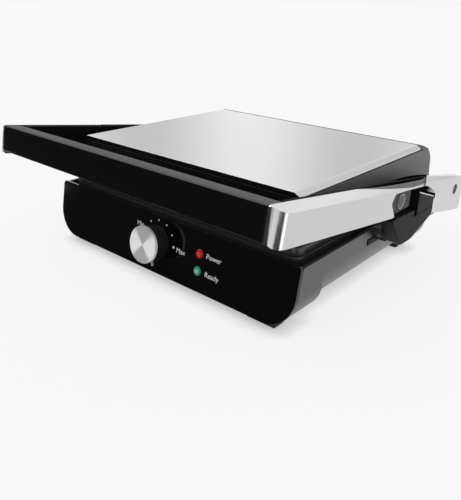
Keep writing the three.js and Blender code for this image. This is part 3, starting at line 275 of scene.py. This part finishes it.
def eased(node, name, width, body, finish, segments=3, joined=True):
    """A CAD piece with its edges rounded as the mould or the press leaves them."""
    bm = bmesh.new()
    bm.from_mesh(frame["nodes"][node].data)
    bmesh.ops.remove_doubles(bm, verts=bm.verts, dist=weld_gap)
    if joined:
        bmesh.ops.dissolve_limit(
            bm, angle_limit=flat_angle, verts=bm.verts, edges=bm.edges, delimit={"NORMAL"}
        )
    for face in bm.faces:
        face.smooth = True
    piece = mesh_object(name, bm)
    piece.data.materials.append(finish)
    piece.data.set_sharp_from_angle(angle=sharp_angle)
    edge = piece.modifiers.new("edge", "BEVEL")
    edge.width = width
    edge.segments = segments
    edge.limit_method = "ANGLE"
    edge.angle_limit = sharp_angle
    edge.miter_outer = "MITER_ARC"
    edge.harden_normals = True
    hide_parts(node)
    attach(piece, body)
    return piece


tub_plastic = grained("tub_plastic", tub_black, rough=(0.3, 0.4), scale=1400, bump=0.05, index=1.9)
eased("base_housing", "base_tub", tub_edge, "base", tub_plastic)

# Feet. Four matt blocks of black thermoplastic rubber under the corners, each held by one
# screw from inside the tub.
foot_edge = 0.0008
foot_rubber = grained("foot_rubber", (0.016, 0.016, 0.016), rough=(0.6, 0.8), scale=900, bump=0.3)
for corner in ("front_left", "front_right", "rear_left", "rear_right"):
    eased(corner + "_foot", corner + "_pad", foot_edge, "base", foot_rubber)

# Deck. A nylon frame pressed into the mouth of the tub, which keeps the heat of the
# lower plate off its walls.
deck_edge = 0.0004
deck_nylon = grained("deck_nylon", (0.02, 0.02, 0.021), rough=(0.42, 0.58), scale=1100, bump=0.2)
eased("base_deck", "plate_deck", deck_edge, "base", deck_nylon)

# Heat shields. Deep-drawn trays of aluminised sheet steel behind both heaters, bright
# and faintly rolled, hung from the deck and the lid by their flanges.
shield_edge = 0.0003
halves = {"lower": "base", "upper": "lid"}
shield_sheet = grained(
    "shield_sheet",
    (0.55, 0.55, 0.56),
    rough=(0.28, 0.45),
    scale=300,
    bump=0.1,
    metallic=1.0,
    stretch=(1, 12, 1),
)
for level, body in halves.items():
    shield = level + "_shield"
    eased(level + "_heat_shield", shield, shield_edge, body, shield_sheet, segments=2)

# Heating elements. Bent tubes of heat-resisting steel with magnesia inside, blued by
# use, which lie against the backs of the two plates.
heater_blue, heater_straw = (0.09, 0.085, 0.1), (0.24, 0.19, 0.15)
heater_steel = grained(
    "heater_steel", heater_blue, rough=(0.35, 0.6), scale=160, bump=0.1, pale=heater_straw, metallic=0.9
)
for level in halves:
    heater = frame["nodes"][level + "_heating_element"]
    heater.data.materials.clear()
    heater.data.materials.append(heater_steel)

# Grill plates. Ribbed plates of die-cast aluminium with a black non-stick coating, whose
# fine orange-peel catches the light on the rims. The lid holds its own face down.
plate_edge = 0.0003
plate_coating = grained(
    "plate_coating",
    (0.03, 0.03, 0.031),
    rough=(0.18, 0.3),
    scale=2600,
    bump=0.12,
    index=1.6,
    depth=0.00003,
)
for level, body in halves.items():
    node, plate = level + "_grill_plate", level + "_plate"
    eased(node, plate, plate_edge, body, plate_coating, segments=2, joined=False)

# Drip tray and gland. A thin tray of black nylon slides out of the rear wall, and beside
# it a rubber gland waits for the mains lead, with the terminal block inside.
tray_edge, gland_edge, block_edge = 0.0004, 0.0004, 0.0006
block_cream, block_pale = (0.56, 0.52, 0.44), (0.68, 0.64, 0.56)
tray_nylon = grained("tray_nylon", (0.014, 0.014, 0.015), rough=(0.34, 0.5), scale=1300, bump=0.15)
eased("drip_tray", "grease_tray", tray_edge, "tray", tray_nylon)
eased("cord_gland", "lead_gland", gland_edge, "base", foot_rubber)
block_resin = grained("block_resin", block_cream, rough=(0.45, 0.6), scale=500, bump=0.1, pale=block_pale)
eased("terminal_block", "wire_block", block_edge, "base", block_resin)

# Front panel. A leaning fascia of piano-black acrylic, polished on its face and printed
# with a plain dial scale. It clips to the tub along its lower edge.
panel_edge = 0.0012
panel_acrylic = grained("panel_acrylic", (0.002, 0.002, 0.0023), rough=(0.07, 0.11), scale=260, bump=0.02)
eased("front_panel", "fascia", panel_edge, "base", panel_acrylic, segments=4)

knob_joint = next(joint for joint in frame["joints"] if joint["name"] == "knob_turn")
dial_centre = Vector(knob_joint["pos_m"])
outward = -Vector(knob_joint["axis"]).normalized()
upward = outward.cross(Vector((1, 0, 0))).normalized()
ink_depth = 0.00005
dial_radius, dot_radius, end_dot_radius, dot_sides = 0.0225, 0.00085, 0.0013, 20
dot_count, first_dot, dot_pitch = 6, -64, 30
letter_size, letter_thinned = 0.0071, -0.00004
print_ink = grained("print_ink", (0.9, 0.9, 0.9), rough=(0.45, 0.6), scale=2000, bump=0.05)


def lay_on_panel(bm, across=0.0, up=0.0, off=0.0):
    """Turns a mesh to the slope of the panel and puts it at a place measured from the dial."""
    turn = Matrix((Vector((1, 0, 0)), upward, outward)).transposed().to_4x4()
    place = dial_centre + Vector((across, 0, 0)) + upward * up + outward * off
    bmesh.ops.transform(bm, matrix=Matrix.Translation(place) @ turn, verts=bm.verts)


def printed(name, bm):
    piece = mesh_object(name, bm)
    piece.data.materials.append(print_ink)
    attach(piece, "base")


bm = bmesh.new()
for step in range(dot_count):
    angle = math.radians(first_dot + dot_pitch * step)
    radius = end_dot_radius if step in (0, dot_count - 1) else dot_radius
    dot = bmesh.ops.create_cone(
        bm, cap_ends=True, segments=dot_sides, radius1=radius, radius2=radius, depth=ink_depth
    )
    place = Vector((dial_radius * math.sin(angle), dial_radius * math.cos(angle), 0))
    bmesh.ops.translate(bm, vec=place, verts=dot["verts"])
lay_on_panel(bm, off=ink_depth)
printed("dial_dots", bm)

for word, across, up in (
    ("0", -0.0042, -0.0238),
    ("Min", -0.0272, 0.0120),
    ("Max", 0.0325, 0.0001),
    ("Power", 0.0747, 0.0056),
    ("Ready", 0.0748, -0.0117),
):
    letters = bpy.data.curves.new("print_" + word, "FONT")
    letters.body = word
    letters.size = letter_size
    letters.offset = letter_thinned
    letters.align_x = "CENTER"
    letters.align_y = "CENTER"
    letters.extrude = ink_depth / 2
    raised = bpy.data.objects.new("print_" + word, letters)
    scene.collection.objects.link(raised)
    bpy.context.view_layer.update()
    shape = bpy.data.meshes.new_from_object(raised.evaluated_get(bpy.context.evaluated_depsgraph_get()))
    bpy.data.objects.remove(raised)
    bm = bmesh.new()
    bm.from_mesh(shape)
    bpy.data.meshes.remove(shape)
    lay_on_panel(bm, across, up, ink_depth)
    printed("print_" + word, bm)

# Thermostat. A capillary switch in a black nylon case behind the panel. Its steel shaft
# passes through the fascia and carries the knob.
thermostat_edge, shaft_edge = 0.0008, 0.0003
eased("thermostat_body", "thermostat_case", thermostat_edge, "base", deck_nylon)
shaft_steel = grained(
    "shaft_steel", (0.5, 0.5, 0.5), rough=(0.25, 0.4), scale=900, bump=0.05, metallic=1.0, stretch=(1, 6, 1)
)
spindle = "thermostat_spindle"
eased("thermostat_shaft", spindle, shaft_edge, "knob", shaft_steel, segments=2)

# Knob. A satin black moulding on the shaft, faced with a turned aluminium cap with fine circular tool marks
# in its relief. Light and dark wedges round the cap are painted into its colour, a painted reflection of the
# turned face. A fine groove runs inside its rim.
knob_edge = 0.0008
knob_plastic = grained(
    "knob_plastic", (0.012, 0.012, 0.012), rough=(0.38, 0.5), scale=1500, bump=0.1, specular=0.3
)
eased("knob_body", "knob_grip", knob_edge, "knob", knob_plastic, segments=4)
groove_radius, groove_width, groove_depth, rim_round, cap_steps = 0.0158, 0.0004, 0.0004, 0.0003, 96
cap_weld, cap_sharp = 0.000001, math.radians(25)
painted_wedge_count, painted_wedge_span, painted_wedge_tones = 2, (-0.55, 0.45), (0.5, 1.0)
tool_marks, tool_waver, tool_detail, tool_bump, tool_depth = 900, 0.6, 3, 0.15, 0.00002


def node_points(name):
    return [vertex.co for vertex in frame["nodes"][name].data.vertices]


cap_points = [point - dial_centre for point in node_points("knob_cap")]
cap_front = max(point.dot(outward) for point in cap_points)
cap_back = min(point.dot(outward) for point in cap_points)
cap_radius = max((point - outward * point.dot(outward)).length for point in cap_points)
bm = bmesh.new()
cap_profile = [
    bm.verts.new((radius, 0, height))
    for radius, height in (
        (0, cap_front),
        (groove_radius, cap_front),
        (groove_radius + groove_width / 2, cap_front - groove_depth),
        (groove_radius + groove_width, cap_front),
        (cap_radius - rim_round, cap_front),
        (cap_radius, cap_front - rim_round),
        (cap_radius, cap_back),
        (0, cap_back),
    )
]
cap_edges = [bm.edges.new(pair) for pair in zip(cap_profile, cap_profile[1:])]
bmesh.ops.spin(
    bm,
    geom=cap_profile + cap_edges,
    cent=(0, 0, 0),
    axis=(0, 0, 1),
    angle=2 * math.pi,
    steps=cap_steps,
    use_merge=True,
)
bmesh.ops.remove_doubles(bm, verts=bm.verts, dist=cap_weld)
bmesh.ops.recalc_face_normals(bm, faces=bm.faces)
for face in bm.faces:
    face.smooth = True
lay_on_panel(bm)
knob_face = mesh_object("knob_face", bm)
knob_face.data.set_sharp_from_angle(angle=cap_sharp)

cap_metal, cap_shader = new_material("cap_metal", (1.0, 1.0, 1.0), roughness=0.45, metallic=0.08)
cap_tree = cap_metal.node_tree
cap_place = cap_tree.nodes.new("ShaderNodeTexCoord")
cap_turn = cap_tree.nodes.new("ShaderNodeMapping")
cap_turn.vector_type = "TEXTURE"
cap_turn.inputs["Location"].default_value = dial_centre
cap_turn.inputs["Rotation"].default_value = (math.atan2(-outward.y, outward.z), 0, 0)
cap_tree.links.new(cap_place.outputs["Object"], cap_turn.inputs["Vector"])
cap_split = cap_tree.nodes.new("ShaderNodeSeparateXYZ")
cap_tree.links.new(cap_turn.outputs["Vector"], cap_split.inputs["Vector"])
# The cap's colour runs light and dark in wedges round its centre: a painted reflection of the turned face.
cap_angle = math_step(cap_tree, "ARCTAN2", cap_split.outputs["Y"], cap_split.outputs["X"])
cap_painted_wave = math_step(cap_tree, "COSINE", math_step(cap_tree, "MULTIPLY", cap_angle, painted_wedge_count))
cap_painted_reflection = spread_over(cap_tree, cap_painted_wave, painted_wedge_span, painted_wedge_tones)
cap_painted_reflection.interpolation_type = "SMOOTHSTEP"
cap_tree.links.new(cap_painted_reflection.outputs["Result"], cap_shader.inputs["Base Color"])
cap_rings = cap_tree.nodes.new("ShaderNodeTexWave")
cap_rings.wave_type = "RINGS"
cap_rings.rings_direction = "Z"
cap_rings.inputs["Scale"].default_value = tool_marks
cap_rings.inputs["Distortion"].default_value = tool_waver
cap_rings.inputs["Detail"].default_value = tool_detail
cap_tree.links.new(cap_turn.outputs["Vector"], cap_rings.inputs["Vector"])
cap_relief = cap_tree.nodes.new("ShaderNodeBump")
cap_relief.inputs["Strength"].default_value = tool_bump
cap_relief.inputs["Distance"].default_value = tool_depth
cap_tree.links.new(cap_rings.outputs["Fac"], cap_relief.inputs["Height"])
cap_tree.links.new(cap_relief.outputs["Normal"], cap_shader.inputs["Normal"])
knob_face.data.materials.append(cap_metal)
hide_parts("knob_cap")
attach(knob_face, "knob")

# Lamps. Domed lenses of tinted acrylic, red for power and green for ready, paler in the
# middle over the glow lamps. They are pushed through the panel into one black holder.
holder_edge, lens_edge = 0.0005, 0.0006
core_solid, core_reach = 0.00144, 0.0036
lens_coat, lens_coat_rough = 0.6, 0.05
eased("lamp_holder", "lamp_socket", holder_edge, "base", deck_nylon)
for word, rim_colour, core_colour, slot in (
    ("power", (0.38, 0.006, 0.01), (0.8, 0.05, 0.05), "red_lens"),
    ("ready", (0.02, 0.24, 0.12), (0.2, 0.66, 0.45), "green_lens"),
):
    lens_points = node_points(word + "_lamp_lens")
    middle = sum(lens_points, Vector()) / len(lens_points)
    crown = max((point - middle).dot(outward) for point in lens_points)
    lens_acrylic = grained(word + "_acrylic", rim_colour, rough=(0.1, 0.18), scale=1200, bump=0.1)
    lens_tree = lens_acrylic.node_tree
    lens_shader = lens_tree.nodes["Principled BSDF"]
    lens_shader.inputs["Coat Weight"].default_value = lens_coat
    lens_shader.inputs["Coat Roughness"].default_value = lens_coat_rough
    lens_place = lens_tree.nodes.new("ShaderNodeTexCoord")
    lens_reach = lens_tree.nodes.new("ShaderNodeVectorMath")
    lens_reach.operation = "DISTANCE"
    lens_reach.inputs[1].default_value = middle + outward * crown
    lens_tree.links.new(lens_place.outputs["Object"], lens_reach.inputs[0])
    lens_fade = spread_over(lens_tree, lens_reach.outputs["Value"], (core_solid, core_reach))
    tinted(lens_tree, lens_fade.outputs["Result"], core_colour, rim_colour)
    eased(word + "_lamp_lens", word + "_lens", lens_edge, "base", lens_acrylic, segments=4)

# Side brackets. Black moulded cheeks screwed to the tub carry a thin silver trim and a
# thick satin cover, whose raised head meets the arm. The left one is its mirror.
cheek_edge, trim_edge, cover_edge = 0.0005, 0.0003, 0.0010
sides = {"right": 1, "left": -1}
cover_plastic = grained(
    "cover_plastic", (0.007, 0.007, 0.007), rough=(0.45, 0.58), scale=1300, bump=0.12, specular=0.12
)
trim_silver = grained(
    "trim_silver", (0.7, 0.7, 0.71), rough=(0.25, 0.38), scale=600, bump=0.05, metallic=1.0
)
for side in sides:
    eased("side_bracket_" + side, "cheek_" + side, cheek_edge, "base", tub_plastic)
    trim = "trim_edge_" + side
    eased("side_trim_" + side, trim, trim_edge, "base", trim_silver, segments=2)
    cover = "cheek_cover_" + side
    eased("side_cover_" + side, cover, cover_edge, "base", cover_plastic, segments=4)

# Lever and buttons. A black lever with a thin silver edge slides on the right cover. Two
# small black buttons, in the tub's right wall and in the lid, let the plates go.
lever_edge, button_edge = 0.0010, 0.0005
eased("latch_lever", "lock_lever", lever_edge, "latch", cover_plastic, segments=4)
lever_high, lever_low = (0.0520, 0.0924), (0.0884, 0.0791)
lever_section = ((0.1856, 0.0002), (0.1868, -0.0002), (0.1866, 0.0008), (0.1858, 0.0009))
bm = bmesh.new()
upper_end = bm.faces.new(
    [bm.verts.new((across, lever_high[0], lever_high[1] + rise)) for across, rise in lever_section]
)
lower_end = bmesh.ops.extrude_face_region(bm, geom=[upper_end])["geom"]
lever_run = Vector((0, lever_low[0] - lever_high[0], lever_low[1] - lever_high[1]))
lower_corners = [part for part in lower_end if isinstance(part, bmesh.types.BMVert)]
bmesh.ops.translate(bm, vec=lever_run, verts=lower_corners)
bmesh.ops.recalc_face_normals(bm, faces=bm.faces)
lever_strip = mesh_object("lever_edge", bm)
lever_strip.data.materials.append(trim_silver)
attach(lever_strip, "latch")
lower_button, upper_button = "lower_release", "upper_release"
eased("lower_plate_button", lower_button, button_edge, "lower_button", cover_plastic)
eased("upper_plate_button", upper_button, button_edge, "upper_button", cover_plastic)

# Hinge. Moulded lugs at the rear of the tub hold a plain steel pin for the tail of each
# arm. The pins are the axis on which the arms and the lid open.
lug_edge, pin_edge = 0.0008, 0.0003
pin_steel = grained("pin_steel", (0.45, 0.45, 0.45), rough=(0.28, 0.42), scale=700, bump=0.05, metallic=1.0)
for side in sides:
    eased("hinge_lug_" + side, "tail_lug_" + side, lug_edge, "base", deck_nylon)
    pin = "tail_pin_" + side
    eased("hinge_pin_" + side, pin, pin_edge, "base", pin_steel, segments=2)

# Arms. Die-cast aluminium arms, satin-polished and clear-lacquered, bent round at the front to meet the bar
# and stepped up at the tail. A black liner runs inside each, and its raised part fills the arm's window. The
# liner's black is kept almost without gloss, partly painted shade for the deep gap above it.
arm_edge, liner_edge = 0.0008, 0.0006
arm_grey, arm_pale = (0.6, 0.6, 0.605), (0.64, 0.64, 0.645)
insert_reach, facing_lift = 0.178, 0.00015
arm_silver = grained(
    "arm_silver",
    arm_grey,
    rough=(0.13, 0.2),
    scale=900,
    bump=0.01,
    pale=arm_pale,
    metallic=1.0,
    stretch=(1, 0.4, 1),
)
insert_plastic = grained(
    "insert_plastic", (0.012, 0.0125, 0.014), rough=(0.35, 0.48), scale=1300, bump=0.08, index=1.42
)
# A black almost without gloss: the liner's own black, and painted shade where it is laid on the lid's front
# and the steel's front edge.
liner_and_shade_black = grained(
    "liner_and_shade_black", (0.005, 0.005, 0.005), rough=(0.45, 0.6), scale=1300, bump=0.08, specular=0.02
)


def faced(source, name, chosen, finish):
    """A thin facing laid on the faces of a piece that pass a test."""
    bm = bmesh.new()
    bm.from_mesh(source.data)
    others = [face for face in bm.faces if not chosen(face)]
    bmesh.ops.delete(bm, geom=others, context="FACES")
    for vert in bm.verts:
        vert.co += vert.normal * facing_lift
    facing = mesh_object(name, bm)
    facing.data.materials.append(finish)
    return facing


def in_window(face):
    return abs(face.calc_center_median().x) > insert_reach


for side in sides:
    eased("arm_" + side, "cast_arm_" + side, arm_edge, "arms", arm_silver, segments=4)
    liner = "inner_liner_" + side
    strip = eased("arm_liner_" + side, liner, liner_edge, "arms", liner_and_shade_black)
    insert = faced(strip, "window_insert_" + side, in_window, insert_plastic)
    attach(insert, "arms")

# Arm tops. A dark strip lies along the top of each arm, and between it and the arm's inner edge a matt black
# strip is painted shade for the gap there. Both follow the slope and the bevel of the casting.
arm_top, arm_fall, arm_bevel, arm_inner = 0.10992, 0.16, 0.35, 0.173
inlay_outline = (
    (0.1729, -0.0450),
    (0.1760, -0.0250),
    (0.1784, -0.0100),
    (0.1803, 0.0039),
    (0.1816, 0.0175),
    (0.1831, 0.0325),
    (0.1833, 0.0467),
    (0.1826, 0.0598),
    (0.1808, 0.0743),
    (0.1731, 0.0990),
)
gap_shade_outline = (
    (0.1729, -0.0450),
    (0.1748, -0.0200),
    (0.1757, 0.0000),
    (0.1762, 0.0300),
    (0.1760, 0.0600),
    (0.1755, 0.0800),
    (0.1742, 0.0890),
    (0.1729, 0.0905),
)
liner_plastic = grained(
    "liner_plastic", (0.012, 0.012, 0.013), rough=(0.3, 0.42), scale=1300, bump=0.08, index=1.6
)
# A matt black without gloss: painted shade for the gaps it is laid in.
gap_shade_black = grained(
    "gap_shade_black", (0.003, 0.003, 0.003), rough=(0.8, 1.0), scale=1200, bump=0.1, specular=0.0
)


def inlaid(name, corners, thickness, finish):
    """A flat strip of even thickness, cut to an outline."""
    bm = bmesh.new()
    bm.faces.new([bm.verts.new(corner) for corner in corners])
    bmesh.ops.recalc_face_normals(bm, faces=bm.faces)
    bmesh.ops.solidify(bm, geom=bm.faces[:], thickness=thickness)
    strip = mesh_object(name, bm)
    strip.data.materials.append(finish)
    return strip


for side, hand in sides.items():
    for label, outline, lift, finish in (
        ("arm_filler_", inlay_outline, facing_lift, liner_plastic),
        ("arm_gap_shade_", gap_shade_outline, facing_lift * 2, gap_shade_black),
    ):
        corners = []
        for across, along in outline:
            height = arm_top - arm_fall * along - arm_bevel * (across - arm_inner)
            corners.append((hand * across, along, height + lift))
        inlay = inlaid(label + side, corners, facing_lift * 2, finish)
        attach(inlay, "arms")

# Pivot caps and pins. A cast ring with a dark dish closes the outside of each arm, over
# the steel stud on which the lid tilts. Another steel pin holds each end of the bar.
ring_edge, stud_edge = 0.0003, 0.0004
dish_radius, dish_depth, dish_setback, dish_shift, dish_sides = 0.0064, 0.0006, 0.0002, 0.0005, 48
for side, hand in sides.items():
    ring = "pivot_ring_" + side
    eased("pivot_cap_" + side, ring, ring_edge, "arms", trim_silver, segments=2)
    ring_points = node_points("pivot_cap_" + side)
    outer = max(abs(point.x) for point in ring_points)
    middle = sum(ring_points, Vector()) / len(ring_points)
    bm = bmesh.new()
    bmesh.ops.create_cone(
        bm, cap_ends=True, segments=dish_sides, radius1=dish_radius, radius2=dish_radius, depth=dish_depth
    )
    bmesh.ops.rotate(bm, cent=(0, 0, 0), matrix=Matrix.Rotation(math.pi / 2, 3, "Y"), verts=bm.verts)
    place = (hand * (outer - dish_setback), middle.y - dish_shift, middle.z + dish_shift / 3)
    bmesh.ops.translate(bm, vec=place, verts=bm.verts)
    dish = mesh_object("pivot_dish_" + side, bm)
    dish.data.materials.append(liner_plastic)
    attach(dish, "arms")
    pin, stud = "bar_pin_" + side, "lid_stud_" + side
    eased("handle_pin_" + side, pin, pin_edge, "arms", pin_steel, segments=2)
    eased("lid_pivot_stud_" + side, stud, stud_edge, "lid", pin_steel, segments=2)

# Handle bar. A hollow bar of glossy black phenolic between the arms. Its upper face is laid with a matt grey
# facing, a painted reflection of the bright room above.
bar_edge, sheen_rise = 0.0010, 0.7
bar_resin = grained(
    "bar_resin", (0.004, 0.004, 0.0045), rough=(0.1, 0.16), scale=300, bump=0.03, index=1.36, specular=0.35
)
# A matt grey laid on the upward faces: a painted reflection of the bright room above.
bar_sheen_grey = grained(
    "bar_sheen_grey", (0.09, 0.09, 0.091), rough=(0.45, 0.6), scale=1200, bump=0.05, specular=0.05
)
bar = eased("handle_bar", "grip_bar", bar_edge, "arms", bar_resin, segments=4)
bar_top_sheen = faced(bar, "bar_painted_sheen", lambda face: face.normal.z > sheen_rise, bar_sheen_grey)
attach(bar_top_sheen, "arms")

# Lid. A black ABS shell on the two studs. Its front faces take a deep black facing, painted shade under the
# bar; its sides take a lighter grey facing, a painted reflection of the bright room; and a matt black band
# along the foot of each side is painted shade for the gap there.
shell_edge = 0.0012
lip_reach, lip_lean, side_reach, side_lean = -0.05, -0.15, 0.14, 0.9
lid_plastic = grained("lid_plastic", tub_black, rough=(0.42, 0.52), scale=1400, bump=0.05, index=1.9)
# A lighter grey for the lid's sides: a painted reflection of the bright room on the same black plastic.
side_painted_sheen = grained(
    "side_painted_sheen", (0.11, 0.11, 0.11), rough=(0.42, 0.52), scale=1400, bump=0.05, index=1.7
)


def on_lip(face):
    return face.normal.y < lip_lean and face.calc_center_median().y < lip_reach


def on_side(face):
    across = face.calc_center_median().x
    return abs(across) > side_reach and face.normal.x * across > side_lean * abs(across)


shell = eased("lid_housing", "lid_shell", shell_edge, "lid", lid_plastic, segments=4)
# The front faces take painted shade under the bar, and the side faces a painted reflection in grey.
for name, chosen, finish in (("lid_lip_shade", on_lip, liner_and_shade_black), ("lid_flank_sheen", on_side, side_painted_sheen)):
    facing = faced(shell, name, chosen, finish)
    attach(facing, "lid")

# Each side's foot takes a matt black band: painted shade for the gap under the side.
foot_shade_top = (
    (0.0, 0.0982),
    (0.0446, 0.0939),
    (0.0770, 0.0910),
    (0.0954, 0.0892),
    (0.1125, 0.0869),
    (0.1332, 0.0833),
    (0.1545, 0.0786),
    (0.1620, 0.0771),
)
wall_foot, wall_draft, foot_shade_bottom, foot_shade_proud = 0.15, 0.0573, 0.0751, 0.0003
foot_shade_outline = foot_shade_top + ((foot_shade_top[-1][0], foot_shade_bottom), (foot_shade_top[0][0], foot_shade_bottom))
for side, hand in sides.items():
    corners = []
    for along, height in foot_shade_outline:
        across = wall_foot - wall_draft * (height - foot_shade_bottom) + foot_shade_proud
        corners.append((hand * across, along, height))
    foot_shade = inlaid("lid_foot_shade_" + side, corners, foot_shade_proud, gap_shade_black)
    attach(foot_shade, "lid")

# Lid panel. A sheet of brushed stainless steel bent over the lid's long edges and let in flush. Its front
# edge takes a black facing, painted shade from the lip before it.
sheet_edge = 0.0010
sheet_high, sheet_drop, sheet_lean = 0.1170, 0.0009, -0.7
steel_grey, steel_pale = (0.69, 0.69, 0.7), (0.76, 0.76, 0.77)
lid_steel = grained(
    "lid_steel",
    steel_grey,
    rough=(0.26, 0.36),
    scale=60,
    bump=0.04,
    pale=steel_pale,
    metallic=1.0,
    stretch=(1, 40, 40),
)
sheet = eased("lid_top_panel", "steel_sheet", sheet_edge, "lid", lid_steel, segments=4)
# The steel's front edge is covered black: painted shade from the lip before it.
sheet_lip_shade = faced(sheet, "sheet_lip_shade", lambda face: face.normal.y < sheet_lean, liner_and_shade_black)
for vert in sheet_lip_shade.data.vertices:
    if vert.co.z > sheet_high:
        vert.co.z -= sheet_drop
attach(sheet_lip_shade, "lid")
